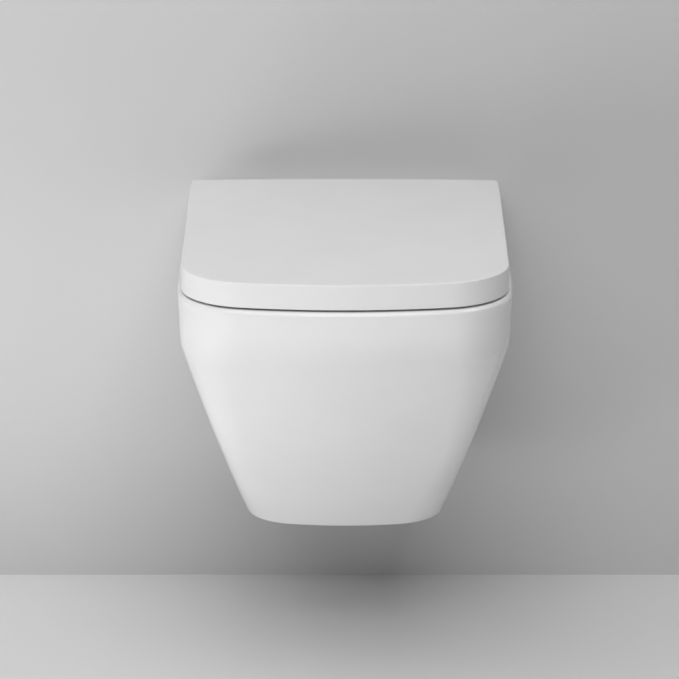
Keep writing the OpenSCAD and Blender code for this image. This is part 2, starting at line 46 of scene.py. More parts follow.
# ---------------------------------------------------------------- sizes, mm
# x is to the right, out is the distance from the wall (-y) and z is up; the origin lies on the
# wall, midway between the two wall studs.
RIM_Z, FOOT_Z = 80.0, -238.0
PAN_H = RIM_Z - FOOT_Z
FLOOR_Z = RIM_Z - 481.0
PAN_HALF, PAN_OUT = 179.5, 530.0
FOOT_HALF, FOOT_OUT = 110.0, 290.0
RIM_EDGE, FOOT_EDGE, PAN_BACK_R = 5.0, 3.0, 2.5

MOUTH_OUT, MOUTH_HALF, MOUTH_LONG, MOUTH_LIP = 315.0, 131.0, 160.0, 6.0
BOWL_DEEP, BOWL_BACK, TRAP_R = 302, 75, 27
STUD_X, STUD_R, STUD_DEEP = 90, 12.7, 72
SCREW_OUT, SCREW_R, SCREW_X = 50, 8.0, (120, 190)
POST_X, POST_OUT, POST_HOLE_R, POST_HOLE_DEEP = 77.5, 108.0, 7.0, 46
INLET_Z, INLET_R, INLET_DEEP, CHANNEL_R, CHANNEL_OUT = 35.0, 28.0, 35, 20.0, (30, 185)
OUTLET_Z, OUTLET_R, OUTLET_DEEP = -100, 45.0, 42
SPIGOT_R, SPIGOT_BACK, RECESS_R, RECESS_DEEP = 51.0, 4, 66.0, 36
PLATE_OUT, PLATE_HALF, SPREADER_R, SPREADER_BORE_R = 178.0, (29.0, 15.0), 19.8, 17.8

AXIS_OUT, AXIS_Z = 91.0, RIM_Z + 15.5
PIN_R, DAMPER_R = 4.08, 6.5
LID_HALF, LID_FRONT, LID_BACK = 174.0, 527.0, 82.0
LID_FRONT_R, LID_CORNER_R, SIDE_TAPER = 590.5, 78.5, 0.4
LID_Z, LID_TOP, LID_ROOF, LID_WALL = RIM_Z + 2.0, RIM_Z + 29.5, 4.5, 4.5
LID_UNDER = LID_TOP - LID_ROOF
APRON_Z = LID_Z + 0.5
SEAT_Z, SEAT_T, SEAT_BACK = RIM_Z + 5.0, 15.0, 106
SEAT_IN = LID_WALL + 1.5
HOLE_OUT, HOLE_HALF, HOLE_LONG = 330.0, 107, 142
# along the hinge axis: block, knuckles and the bores for the dampers and pins
BLOCK_W = 30.0
LID_KNUCKLE, SEAT_KNUCKLE = (94.5, 130.5), (24.5, 60.5)
LID_DAMPER, LID_PIN = (92.5, 127.7), (-92.5, -117.5)
SEAT_DAMPER, SEAT_PIN = (-63, -27.3), (63, 37.5)

# steps of an outline's front arc, corner arc, side, back corner and half the back
PAN_STEPS = (14, 22, 26, 5, 10)
LID_STEPS = (16, 24, 34, 6, 14)
SEAT_STEPS = (16, 24, 30, 5, 18)


# ---------------------------------------------------------------- outlines
def arc(cx, cy, r, a0, a1, n):
    a = np.radians(a0 + (a1 - a0) * np.arange(n + 1) / n)
    return np.stack([cx + r * np.sin(a), cy - r * np.cos(a)], 1)


def d_outline(half_w, front, back, front_r, corner_r, taper, back_r, n):
    """Closed D outline, anticlockwise from the middle of the front, in n steps (see above)."""
    t = math.radians(taper)
    a = math.degrees(math.asin((half_w - corner_r * math.cos(t)) / (front_r - corner_r)))
    ar = math.radians(a)
    cx = (front_r - corner_r) * math.sin(ar)
    cy = front_r - front - (front_r - corner_r) * math.cos(ar)
    side_y = cy - corner_r * math.sin(t)
    back_half = half_w + (-back - side_y) * math.tan(t)
    front_arc = arc(0, front_r - front, front_r, 0, a, n[0])
    corner = arc(cx, cy, corner_r, a, 90 - taper, n[1])[1:]
    end = np.array([back_half, -back - back_r])
    k = (np.arange(1, n[2] + 1) / n[2])[:, None]
    side = corner[-1] + (end - corner[-1]) * k
    b = np.radians(90 * np.arange(1, n[3] + 1) / n[3])
    rear = np.stack([back_half - back_r + back_r * np.cos(b),
                     -back - back_r + back_r * np.sin(b)], 1)
    k = (np.arange(1, n[4] + 1) / n[4])[:, None]
    line = rear[-1] + (np.array([0.0, -back]) - rear[-1]) * k
    right = np.concatenate([front_arc, corner, side, rear, line])
    left = right[1:-1][::-1] * [-1, 1]
    return np.concatenate([right, left])


def wall_run(h, top, foot, draft, band, bend):
    """Half width or reach of the pan at depth h under the rim: a band that draws in by the draft
    angle, a bend of radius bend, then a straight wall down to the foot."""
    t = math.radians(draft)
    cw = top - band * math.tan(t) - bend * math.cos(t)
    ch = band - bend * math.sin(t)
    rx, ry = foot - cw, PAN_H - ch
    lean = math.atan2(ry, rx) - math.acos(bend / math.hypot(rx, ry))
    bend_end = ch + bend * math.sin(lean)
    if h <= band:
        return top - h * math.tan(t)
    if h < bend_end:
        return cw + math.sqrt(bend * bend - (h - ch) ** 2)
    return foot + (PAN_H - h) * math.tan(lean)


def half_at(h):
    return wall_run(h, PAN_HALF, FOOT_HALF, draft=3.2, band=42.0, bend=128.0)


def out_at(h):
    return wall_run(h, PAN_OUT, FOOT_OUT, draft=0.0, band=25.0, bend=60.0)


def pan_ring(h, inset=0.0):
    """Section of the pan at depth h; near the rim its corners start gently."""
    half_w = half_at(h)
    k = (half_w - FOOT_HALF) / (PAN_HALF - FOOT_HALF)
    # radii of the front and of its corners, from the foot (k = 0) to the rim (k = 1)
    front_r = 322 + 272 * k
    corner_r = 60 + 22 * k - 27 * 4 * k * (1 - k)
    xy = d_outline(half_w - inset, out_at(h) - inset, 0.0, front_r - inset, corner_r - inset,
                   0.0, PAN_BACK_R, PAN_STEPS)
    ease_from, ease_run, ease_in = 385, 55, 0.0095
    ease_deep, ease_fade = 60, 30
    start = np.clip((-xy[:, 1] - ease_from) / ease_run, 0, 1)
    fade = np.clip((ease_deep - h) / ease_fade, 0, 1)
    xy[:, 0] *= 1 - ease_in * start**2 * fade
    return xy


def polar(pts, out):
    return np.arctan2(pts[:, 1] + out, pts[:, 0])


def oval_at(theta, half_w, half_l, out, e=2.4):
    """Points of a superellipse of exponent e at the angles theta."""
    r = (np.abs(np.cos(theta) / half_w) ** e + np.abs(np.sin(theta) / half_l) ** e) ** (-1 / e)
    return np.stack([r * np.cos(theta), -out + r * np.sin(theta)], 1)


def sin_cos(degrees):
    for a in degrees:
        yield math.sin(math.radians(a)), math.cos(math.radians(a))


def quarter(n, a0=0.0, a1=90.0):
    return sin_cos(np.linspace(a0, a1, n))


# ---------------------------------------------------------------- meshes
def with_z(xy, z):
    z = np.full(len(xy), z, float) if np.isscalar(z) else z
    return np.concatenate([xy, z[:, None]], 1)


def loft(rings, wrap=False):
    """Vertices and faces of a closed skin through rings of equal length: capped at both ends, or
    with its last ring joined to its first."""
    n, m = len(rings[0]), len(rings)
    faces = []
    for i in range(m if wrap else m - 1):
        k = (i + 1) % m
        for j in range(n):
            a, b = j, (j + 1) % n
            faces.append((i * n + a, i * n + b, k * n + b, k * n + a))
    if not wrap:
        faces.append(tuple(range(n))[::-1])
        faces.append(tuple(range((m - 1) * n, m * n)))
    return np.concatenate(rings), faces


def join(*parts):
    verts, faces, at = [], [], 0
    for v, f in parts:
        verts.append(v)
        faces += [tuple(i + at for i in q) for q in f]
        at += len(v)
    return np.concatenate(verts), faces


def make(name, geometry):
    verts, faces = geometry
    mesh = bpy.data.meshes.new(name)
    mesh.from_pydata((verts * MM).tolist(), [], faces)
    bm = bmesh.new()
    bm.from_mesh(mesh)
    bmesh.ops.recalc_face_normals(bm, faces=bm.faces)
    bm.to_mesh(mesh)
    bm.free()
    obj = bpy.data.objects.new(name, mesh)
    bpy.context.collection.objects.link(obj)
    smooth(obj, 35)
    return obj


def tool(geometry):
    return make("t", geometry)


def smooth(obj, sharp):
    mesh = obj.data
    mesh.polygons.foreach_set("use_smooth", [True] * len(mesh.polygons))
    mesh.set_sharp_from_angle(angle=math.radians(sharp))


def apply_all(obj):
    """Bake the object's modifiers into its mesh."""
    dg = bpy.context.evaluated_depsgraph_get()
    dg.update()
    mesh = bpy.data.meshes.new_from_object(obj.evaluated_get(dg))
    obj.modifiers.clear()
    old = obj.data
    obj.data = mesh
    bpy.data.meshes.remove(old)


def drop(obj):
    mesh = obj.data
    bpy.data.objects.remove(obj)
    bpy.data.meshes.remove(mesh)


def cut(obj, *tools, op="DIFFERENCE"):
    """Cut the tools from obj, or add them to it, and drop them."""
    for t in tools:
        m = obj.modifiers.new("cut", "BOOLEAN")
        m.operation, m.object, m.solver = op, t, "EXACT"
        apply_all(obj)
        drop(t)


def bevel(obj, width, segments):
    m = obj.modifiers.new("bevel", "BEVEL")
    m.width, m.segments = width * MM, segments
    m.limit_method, m.angle_limit = "ANGLE", math.radians(50)
    m.use_clamp_overlap = True
    m.miter_outer = "MITER_ARC"
    apply_all(obj)


def turn(n):
    return 2 * np.pi * np.arange(n) / n


def rod(p, q, r, n=64):
    """Closed cylinder from p to q."""
    p, q = np.array(p, float), np.array(q, float)
    w = (q - p) / np.linalg.norm(q - p)
    u = np.cross(w, [1, 0, 0]) if abs(w[0]) < 0.9 else np.cross(w, [0, 1, 0])
    u /= np.linalg.norm(u)
    v = np.cross(w, u)
    a = turn(n)
    circle = np.cos(a)[:, None] * u + np.sin(a)[:, None] * v
    return loft([p + circle * r, q + circle * r])


def bore(x, z, r, deep, start=-5, n=64):
    """Rod straight out from the wall, from start (behind the wall if negative) to deep."""
    return rod((x, -start, z), (x, -deep, z), r, n)


def axle(x0, x1, r):
    """Rod along the hinge axis."""
    return rod((x0, -AXIS_OUT, AXIS_Z), (x1, -AXIS_OUT, AXIS_Z), r)


def mirrored(s, span):
    """The ends of a span along x on side s, in rising order."""
    return sorted((s * span[0], s * span[1]))


def tube(path, r):
    """Closed tube of radius r along a path in the plane x = 0."""
    path = np.array(path, float)
    d = np.gradient(path, axis=0)
    d /= np.linalg.norm(d, axis=1)[:, None]
    a = turn(48)
    rings = []
    for p, t in zip(path, d):
        u, v = np.array([1.0, 0, 0]), np.cross(t, [1.0, 0, 0])
        rings.append(p + r * (np.cos(a)[:, None] * u + np.sin(a)[:, None] * v))
    return loft(rings)


def turned_rings(profile, x, out, z):
    """Rings about an upright axis: profile is (radius, height) points."""
    n = 64
    a = turn(n)
    return [np.stack([x + r * np.cos(a), -out + r * np.sin(a), np.full(n, z + h)], 1)
            for r, h in profile]


def prism(x0, x1, profile):
    """Closed solid along x: profile is (out, z) points."""
    p = np.array(profile, float)
    return loft([np.stack([np.full(len(p), x), -p[:, 0], p[:, 1]], 1) for x in (x0, x1)])


def round_profile(points, radii, steps=6):
    """Polygon with its corners rounded."""
    p = [np.array(q, float) for q in points]
    out = []
    for i, q in enumerate(p):
        r = radii[i] if hasattr(radii, "__len__") else radii
        a, b = p[i - 1] - q, p[(i + 1) % len(p)] - q
        la, lb = np.linalg.norm(a), np.linalg.norm(b)
        a, b = a / la, b / lb
        half = math.acos(np.clip(a @ b, -1, 1)) / 2
        if r <= 0 or half > 1.5:
            out.append(q)
            continue
        t = min(r / math.tan(half), 0.49 * la, 0.49 * lb)
        s, e = q + a * t, q + b * t
        rr = t * math.tan(half)
        c = q + (a + b) / np.linalg.norm(a + b) * rr / math.sin(half)
        v0, v1 = s - c, e - c
        w = math.acos(np.clip(v0 @ v1 / (rr * rr), -1, 1))
        for k in range(steps + 1):
            f = k / steps
            out.append(c + (math.sin((1 - f) * w) * v0 + math.sin(f * w) * v1) / math.sin(w))
    return out


def box(lo, hi):
    lo, hi = np.array(lo, float), np.array(hi, float)
    square = np.array([[0, 0], [1, 0], [1, 1], [0, 1]], float)
    x = lo[0] + square[:, 0] * (hi[0] - lo[0])
    y = lo[1] + square[:, 1] * (hi[1] - lo[1])
    return loft([np.stack([x, y, np.full(4, z)], 1) for z in (lo[2], hi[2])])


def catmull(pts, per):
    """Catmull-Rom curve through pts, with per steps from one point to the next."""
    pts = np.array(pts, float)
    p = np.concatenate([[2 * pts[0] - pts[1]], pts, [2 * pts[-1] - pts[-2]]])
    out = []
    for i in range(1, len(p) - 2):
        for t in np.arange(per) / per:
            out.append(0.5 * (2 * p[i] + (p[i + 1] - p[i - 1]) * t
                              + (2 * p[i - 1] - 5 * p[i] + 4 * p[i + 1] - p[i + 2]) * t**2
                              + (3 * p[i] - p[i - 1] - 3 * p[i + 1] + p[i + 2]) * t**3))
    out.append(p[-2])
    return np.array(out)


def monotone(xs, ys, x):
    """Monotone cubic through (xs, ys)."""
    xs, ys = np.array(xs, float), np.array(ys, float)
    h, d = np.diff(xs), np.diff(ys) / np.diff(xs)
    m = np.zeros(len(xs))
    m[0], m[-1] = d[0], d[-1]
    for i in range(1, len(xs) - 1):
        if d[i - 1] * d[i] > 0:
            w1, w2 = 2 * h[i] + h[i - 1], h[i] + 2 * h[i - 1]
            m[i] = (w1 + w2) / (w1 / d[i - 1] + w2 / d[i])
    i = int(np.clip(np.searchsorted(xs, x) - 1, 0, len(h) - 1))
    t = (x - xs[i]) / h[i]
    return ((1 + 2 * t) * (1 - t) ** 2 * ys[i] + t * (1 - t) ** 2 * h[i] * m[i]
            + t * t * (3 - 2 * t) * ys[i + 1] + t * t * (t - 1) * h[i] * m[i + 1])


MADE = {}


def finish_piece(obj, slot, body, *nodes):
    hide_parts(*nodes)
    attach(obj, body)
    MADE[obj.name] = slot


# ---------------------------------------------------------------- camera
PHOTO = 679.0
FOCAL_PX = 3995.17
SENSOR = 36.0
cam_data = bpy.data.cameras.new("camera")
cam_data.sensor_width = cam_data.sensor_height = SENSOR
cam_data.lens = FOCAL_PX * SENSOR / PHOTO
cam_data.clip_end = 100
cam = bpy.data.objects.new("camera", cam_data)
bpy.context.collection.objects.link(cam)
cam.location = (-0.00586, -4.523, (RIM_Z + 1159.9) * MM)
cam.rotation_euler = (math.radians(90 - 16.567), 0, 0)
bpy.context.scene.camera = cam


# ---------------------------------------------------------------- pan
# the bowl's shrinking with depth: width and length as shares of the mouth's
BOWL_AT = [0, 30, 80, 140, 200, 250, 285, BOWL_DEEP]
BOWL_WIDE = [1, 0.985, 0.9, 0.73, 0.56, 0.42, 0.31, 0.15]
BOWL_LONG = [1, 0.985, 0.91, 0.72, 0.53, 0.38, 0.26, 0.12]
# middle line of the trap: (y, z) from the sump over the crest to the outlet
TRAP = [(-262, -196), (-240, -198), (-212, -198), (-182, -178), (-150, -140), (-118, -104),
        (-90, -93), (-62, -97), (-36, -100)]


def pan_skin():
    """Outside from the foot up, over the rim and down the bowl."""
    rings = []
    for s, c in sin_cos((90, 70, 50, 30, 12)):
        up = FOOT_EDGE * (1 - s)
        rings.append(with_z(pan_ring(PAN_H - up, FOOT_EDGE * (1 - c)), FOOT_Z + up))
    rings[0][:, 2] = FOOT_Z
    low, high = (PAN_H - FOOT_EDGE, 110), (106, 2 * RIM_EDGE)
    for h in list(np.linspace(*low, 40)) + list(np.linspace(*high, 34)):
        rings.append(with_z(pan_ring(h), RIM_Z - h))
    for s, c in sin_cos(np.linspace(8, 90, 9)):
        rings.append(with_z(pan_ring(RIM_EDGE, RIM_EDGE * (1 - c)), RIM_Z - RIM_EDGE * (1 - s)))
    top = rings[-1][:, :2]
    theta = polar(top, MOUTH_OUT)
    mouth = oval_at(theta, MOUTH_HALF + MOUTH_LIP, MOUTH_LONG + MOUTH_LIP, MOUTH_OUT)
    for k in (0.2, 0.4, 0.6, 0.8, 1.0):
        rings.append(with_z(top + (mouth - top) * k, RIM_Z))
    for s, c in sin_cos(np.linspace(12, 90, 8)):
        grow = MOUTH_LIP * (1 - s)
        rings.append(with_z(oval_at(theta, MOUTH_HALF + grow, MOUTH_LONG + grow, MOUTH_OUT),
                            RIM_Z - MOUTH_LIP * (1 - c)))
    for h in list(np.linspace(10, 290, 60)) + [294, 297, 299.5, 301, BOWL_DEEP]:
        half_w = MOUTH_HALF * monotone(BOWL_AT, BOWL_WIDE, h)
        half_l = MOUTH_LONG * monotone(BOWL_AT, BOWL_LONG, h)
        out = MOUTH_OUT - BOWL_BACK * (h / BOWL_DEEP) ** 1.3
        rings.append(with_z(oval_at(theta, half_w, half_l, out), RIM_Z - h))
    last = rings[-1]
    mid = last.mean(0)
    for k in (0.6, 0.25):
        rings.append(mid + (last - mid) * k)
    return loft(rings)


def build_pan():
    pan = make("pan_china", pan_skin())
    trap = catmull([[0, y, z] for y, z in TRAP], 8)
    tools = [tool(tube(trap, TRAP_R))]
    for s in (-1, 1):
        x0, x1 = (s * x for x in SCREW_X)
        post = s * POST_X
        tools.append(tool(bore(s * STUD_X, 0, STUD_R, STUD_DEEP)))
        tools.append(tool(rod((x0, -SCREW_OUT, 0), (x1, -SCREW_OUT, 0), SCREW_R)))
        tools.append(tool(rod((post, -POST_OUT, RIM_Z + 5),
                              (post, -POST_OUT, RIM_Z - POST_HOLE_DEEP), POST_HOLE_R)))
    start, end = CHANNEL_OUT
    tools.append(tool(bore(0, INLET_Z, INLET_R, INLET_DEEP)))
    tools.append(tool(bore(0, INLET_Z, CHANNEL_R, end, start)))
    tools.append(tool(bore(0, OUTLET_Z, OUTLET_R, OUTLET_DEEP, n=96)))
    recess = tool(bore(0, OUTLET_Z, RECESS_R, RECESS_DEEP, n=96))
    cut(recess, tool(bore(0, OUTLET_Z, SPIGOT_R, 60, SPIGOT_BACK, n=96)))
    cut(pan, *tools, recess)
    smooth(pan, 32)
    finish_piece(pan, "china", "pan", "ceramic_pan")


def build_distributor():
    """Tube in the flush channel with side slots and a plate that turns the water aside."""
    z, face = INLET_Z, -PLATE_OUT
    half = np.array(PLATE_HALF)
    signs = ((-1, -1), (1, -1), (1, 1), (-1, 1))
    corners = np.array(round_profile([half * q for q in signs], 4.0))
    rings = []
    for inset, deep in ((0.0, 0.0), (0.0, 2.2), (0.25, 2.75), (0.8, 3.0)):
        xz = corners * (1 - inset / half)
        rings.append(np.stack([xz[:, 0], np.full(len(xz), face - deep), z + xz[:, 1]], 1))
    body = make("flush_spreader", loft(rings))
    cut(body, tool(bore(0, z, SPREADER_R, PLATE_OUT + 0.5, 128)), op="UNION")
    cut(body, tool(bore(0, z, SPREADER_BORE_R, 170, 127)),
        tool(box((-21, face, z - 10), (21, -169, z + 10))))
    smooth(body, 35)
    finish_piece(body, "distributor", "pan", "flush_distributor")


def build_side_caps():
    """Caps whose faces follow the pan's side; profile is (radius, depth) points."""
    profile = [(5.2, 12.0), (7.4, 12.0), (7.7, 11.6), (7.7, 0.5), (7.55, 0.2), (7.2, 0.0),
               (5.0, -0.05), (2.5, -0.08)]
    sunk = 0.45
    parts = []
    a = turn(48)
    for s in (-1, 1):
        rings = []
        for r, deep in profile:
            y, z = -SCREW_OUT + r * np.cos(a), r * np.sin(a)
            x = np.array([half_at(RIM_Z - v) for v in z]) - sunk - deep
            rings.append(np.stack([s * x, y, z], 1))
        parts.append(loft(rings))
    finish_piece(make("screw_caps", join(*parts)), "cap_white", "pan", "side_caps")


# ---------------------------------------------------------------- lid
def lid_xy(inset, back=LID_BACK, back_r=4.0):
    """The lid's outline: its sides draw in a little towards the wall."""
    xy = d_outline(LID_HALF - inset, LID_FRONT - inset, back, LID_FRONT_R - inset,
                   LID_CORNER_R - inset, SIDE_TAPER, back_r, LID_STEPS)
    draw_from, draw_run, draw_in = 150, 68, 1.3
    near = np.clip((draw_from + xy[:, 1]) / draw_run, 0, 1)
    xy[:, 0] *= 1 - draw_in / LID_HALF * near**2
    return xy


def crown(xy):
    """Rise of the lid's top face: highest in the middle of the back edge."""
    x = xy[:, 0] / (LID_HALF - 1.0)
    y = (-xy[:, 1] - LID_BACK) / (LID_FRONT - LID_BACK)
    return 2.0 * np.clip(1 - x**2, 0, 1) * np.clip(1 - y, 0, 1)


def about_axis(r, degrees, out=1, up=1, swap=False):
    """(out, z) points of an arc about the hinge axis. Its angles run from straight out, or with
    swap from straight up; out and up are the signs of its two sides."""
    points = []
    for s, c in sin_cos(degrees):
        if swap:
            s, c = c, s
        points.append((AXIS_OUT + out * r * c, AXIS_Z + up * r * s))
    return points


def lid_skin():
    edge, lip = 1.3, 0.9
    rings = []
    for s, c in quarter(5, 90, 0):
        rings.append(with_z(lid_xy(lip * (1 - c)), APRON_Z + lip * (1 - s)))
    for z in np.linspace(APRON_Z + 3, LID_TOP - edge - 1, 6):
        rings.append(with_z(lid_xy(0), z))
    for s, c in quarter(9):
        xy = lid_xy(edge * (1 - c), LID_BACK + 1.2 * (1 - c))
        rings.append(with_z(xy, LID_TOP - edge * (1 - s) + crown(xy) * s))
    top = rings[-1][:, :2]
    centre = np.array([0.0, -300.0])
    for k in (0.97, 0.9, 0.8, 0.68, 0.55, 0.42, 0.3, 0.18, 0.07):
        xy = centre + (top - centre) * k
        rings.append(with_z(xy, LID_TOP + crown(xy)))
    return loft(rings)


def lid_hollow():
    """The space under the lid's roof, open at the back."""
    fillet = 3.0

    def ring(inset, z):
        return with_z(lid_xy(LID_WALL + inset, LID_BACK - 6, 1.0), z)

    rings = [ring(0, z) for z in (LID_Z - 5, LID_Z + 2, LID_Z + 10, LID_UNDER - fillet)]
    for s, c in list(quarter(6))[1:]:
        rings.append(ring(fillet * (1 - c), LID_UNDER - fillet * (1 - s)))
    return loft(rings)


def build_lid():
    lid = make("lid_shell", lid_skin())
    # the apron's lower back corner is rounded about the hinge axis
    far = 30
    corner = [(AXIS_OUT - far, AXIS_Z), *about_axis(14.9, np.linspace(0, 90, 20), -1, -1),
              (AXIS_OUT, AXIS_Z - far), (AXIS_OUT - far, AXIS_Z - far)]
    cut(lid, tool(lid_hollow()), tool(prism(-200, 200, corner)))
    r, root = 9.4, LID_UNDER + 1.5
    knuckle = [(AXIS_OUT + r, root), *about_axis(r, np.linspace(0, 180, 30), 1, -1),
               (AXIS_OUT - r + 0.6, root)]
    for s in (-1, 1):
        cut(lid, tool(prism(*mirrored(s, LID_KNUCKLE), knuckle)), op="UNION")
    cut(lid, tool(axle(*LID_DAMPER, DAMPER_R)), tool(axle(*LID_PIN, PIN_R)))
    bevel(lid, 0.6, 2)
    smooth(lid, 40)
    finish_piece(lid, "lid_duroplast", "lid", "lid")


# ---------------------------------------------------------------- seat
def seat_xy(inset):
    return d_outline(LID_HALF - SEAT_IN - inset, LID_FRONT - SEAT_IN - inset, SEAT_BACK + inset,
                     LID_FRONT_R - SEAT_IN - inset, LID_CORNER_R - SEAT_IN - inset,
                     SIDE_TAPER, 3.0, SEAT_STEPS)


def seat_skin():
    """Ring from its inner lower edge over the dished top to the outside and back underneath."""
    theta = polar(seat_xy(0), HOLE_OUT)

    def hole(grow):
        return oval_at(theta, HOLE_HALF + grow, HOLE_LONG + grow, HOLE_OUT, 2.3)

    z0, z1 = SEAT_Z, SEAT_Z + SEAT_T
    foot_r, dip, inner_r, outer_r = 1.5, 2.6, 6.0, 4.5
    rings = []
    for s, c in quarter(4, 90, 0):
        rings.append(with_z(hole(foot_r * (1 - c)), z0 + foot_r * (1 - s)))
    zi = z1 - dip
    for s, c in quarter(8):
        rings.append(with_z(hole(inner_r * (1 - c)), zi - inner_r + inner_r * s))
    inner, outer = rings[-1][:, :2], seat_xy(outer_r)
    for k in np.linspace(0.1, 0.95, 9):
        rings.append(with_z(inner + (outer - inner) * k, zi + dip * (k * k * (3 - 2 * k))))
    for s, c in quarter(8, 90, 0):
        rings.append(with_z(seat_xy(outer_r * (1 - c)), z1 - outer_r + outer_r * s))
    for s, c in quarter(4):
        rings.append(with_z(seat_xy(foot_r * (1 - c)), z0 + foot_r * (1 - s)))
    a, b = rings[-1][:, :2], rings[0][:, :2]
    for k in (0.33, 0.66):
        rings.append(with_z(a + (b - a) * k, z0))
    return loft(rings, wrap=True)


def build_seat():
    seat = make("seat_ring_shell", seat_skin())
    arm = [(108.5, 88.0), (108.5, 98.5), *about_axis(8.4, np.linspace(20, -190, 40), swap=True)]
    for s in (-1, 1):
        cut(seat, tool(prism(*mirrored(s, SEAT_KNUCKLE), arm)), op="UNION")
    tools = []
    for s in (-1, 1):
        # room for the hinge block between the knuckles of seat and lid
        x0, x1 = mirrored(s, (SEAT_KNUCKLE[1], LID_KNUCKLE[0]))
        notch = round_profile([(x0, -128), (x1, -128), (x1, -80), (x0, -80)], [3, 3, 0, 0])
        n = np.array(notch)
        tools.append(tool(loft([with_z(n, SEAT_Z - 5), with_z(n, SEAT_Z + SEAT_T + 5)])))
    tools.append(tool(axle(*SEAT_DAMPER, DAMPER_R)))
    tools.append(tool(axle(*SEAT_PIN, PIN_R)))
    cut(seat, *tools)
    bevel(seat, 0.7, 2)
    smooth(seat, 40)
    finish_piece(seat, "duroplast", "seat", "seat_ring")


def pad(x, out, w, l, z0, z1):
    """A rounded rubber pad with softened edges."""
    r = w / 2
    chamfer = 1.0
    a = np.pi * np.arange(21) / 20
    xy = np.concatenate([np.stack([r * np.cos(a), l / 2 - r + r * np.sin(a)], 1),
                         np.stack([-r * np.cos(a), r - l / 2 - r * np.sin(a)], 1)])
    rings = []
    up = 1 if z1 > z0 else -1
    for inset, z in ((0.0, z0), (0.0, z1 - up * chamfer),
                     (0.3 * chamfer, z1 - up * 0.3 * chamfer), (chamfer, z1)):
        shrink = [1 - inset / r, 1 - inset / (l / 2)]
        rings.append(with_z(xy * shrink + [x, -out], z))
    return loft(rings)


def build_pads():
    seat_pads = [pad(s * x, out, 11, 26, SEAT_Z + 0.2, RIM_Z + 0.3)
                 for x, out in ((150, 215), (112, 452)) for s in (-1, 1)]
    finish_piece(make("seat_pads", join(*seat_pads)), "pad_rubber", "seat", "seat_buffers")
    lid_pads = [pad(s * x, out, 10, 18, LID_UNDER + 0.2, SEAT_Z + SEAT_T + 0.3)
                for x, out in ((148, 240), (96, 478)) for s in (-1, 1)]
    finish_piece(make("lid_pads", join(*lid_pads)), "pad_rubber", "lid", "lid_buffers")


# ---------------------------------------------------------------- hinges
def build_block(s, side):
    x = s * POST_X
    x0, x1 = mirrored(s, (POST_X - BLOCK_W / 2, POST_X + BLOCK_W / 2))
    profile = round_profile([(122, RIM_Z + 3.3), (122, RIM_Z + 22.4), (100, RIM_Z + 22.6)],
                            [1.5, 4.0, 0])
    profile += about_axis(8.0, np.linspace(5, -150, 26), swap=True)
    profile += round_profile([(97, RIM_Z + 7.6), (97, RIM_Z + 3.3)], [0, 0])
    block = make("hinge_housing_" + side, prism(x0, x1, profile))
    socket = rod((x, -POST_OUT, RIM_Z), (x, -POST_OUT, RIM_Z + 20), 6.08)
    pocket = box((x - 6.7, -130, RIM_Z + 7.8), (x + 6.7, -115.1, RIM_Z + 15.2))
    clip_slot = box((x - 8.6, -116.1, RIM_Z + 10.6), (x + 8.6, -98.6, RIM_Z + 12.6))
    cut(block, tool(socket), tool(pocket), tool(clip_slot))
    bevel(block, 0.7, 3)
    smooth(block, 40)
    finish_piece(block, "hinge_chrome", "hinge_unit", "hinge_block_" + side)


def build_button(s, side):
    x, z, w, h = s * POST_X, RIM_Z + 11.5, 6.5, 3.5
    f = np.array(round_profile([(-w, -h), (w, -h), (w, h), (-w, h)], 1.2, 5))
    rings = []
    for k, y in ((0.9, -118.3), (1.0, -118.8), (1.0, -124.7), (0.96, -125.2), (0.88, -125.5)):
        rings.append(np.stack([x + f[:, 0] * k, np.full(len(f), y),
                               z + f[:, 1] * (1 - (1 - k) * 1.8)], 1))
    tongue = box((x - 6, -118.4, z - 0.8), (x + 6, -117.1, z + 0.8))
    button = make("button_" + side, join(loft(rings), tongue))
    finish_piece(button, "button_grey", "button_" + side, "release_button_" + side)


def build_posts():
    flange, head = 3.0, 10.0
    post = [(0.5, -41.0), (3.2, -41.0), (4.0, -40.2), (4.0, 1.0), (13.6, 1.0), (14.0, 1.3),
            (14.0, 2.6), (13.6, flange), (6.0, flange), (6.0, head + 0.4), (4.6, head + 0.7),
            (4.6, head + 2.6), (6.0, head + 2.8), (6.0, head + 7.8), (5.6, head + 8.6),
            (5.0, head + 9.0), (2.4, head + 9.0), (2.2, head + 8.9), (2.2, head + 6.0),
            (0.3, head + 6.0)]
    washer = [(4.3, 0.0), (13.7, 0.0), (14.0, 0.3), (14.0, 0.7), (13.7, 1.0), (4.3, 1.0)]
    posts = [loft(turned_rings(post, s * POST_X, POST_OUT, RIM_Z)) for s in (-1, 1)]
    finish_piece(make("hinge_studs", join(*posts)), "post_steel", "pan", "hinge_posts")
    washers = [loft(turned_rings(washer, s * POST_X, POST_OUT, RIM_Z), wrap=True)
               for s in (-1, 1)]
    finish_piece(make("stud_gaskets", join(*washers)), "gasket_rubber", "pan", "post_gaskets")


build_pan()
build_distributor()
build_side_caps()
build_lid()
build_seat()
build_pads()
for s, side in ((-1, "left"), (1, "right")):
    build_block(s, side)
    build_button(s, side)
build_posts()


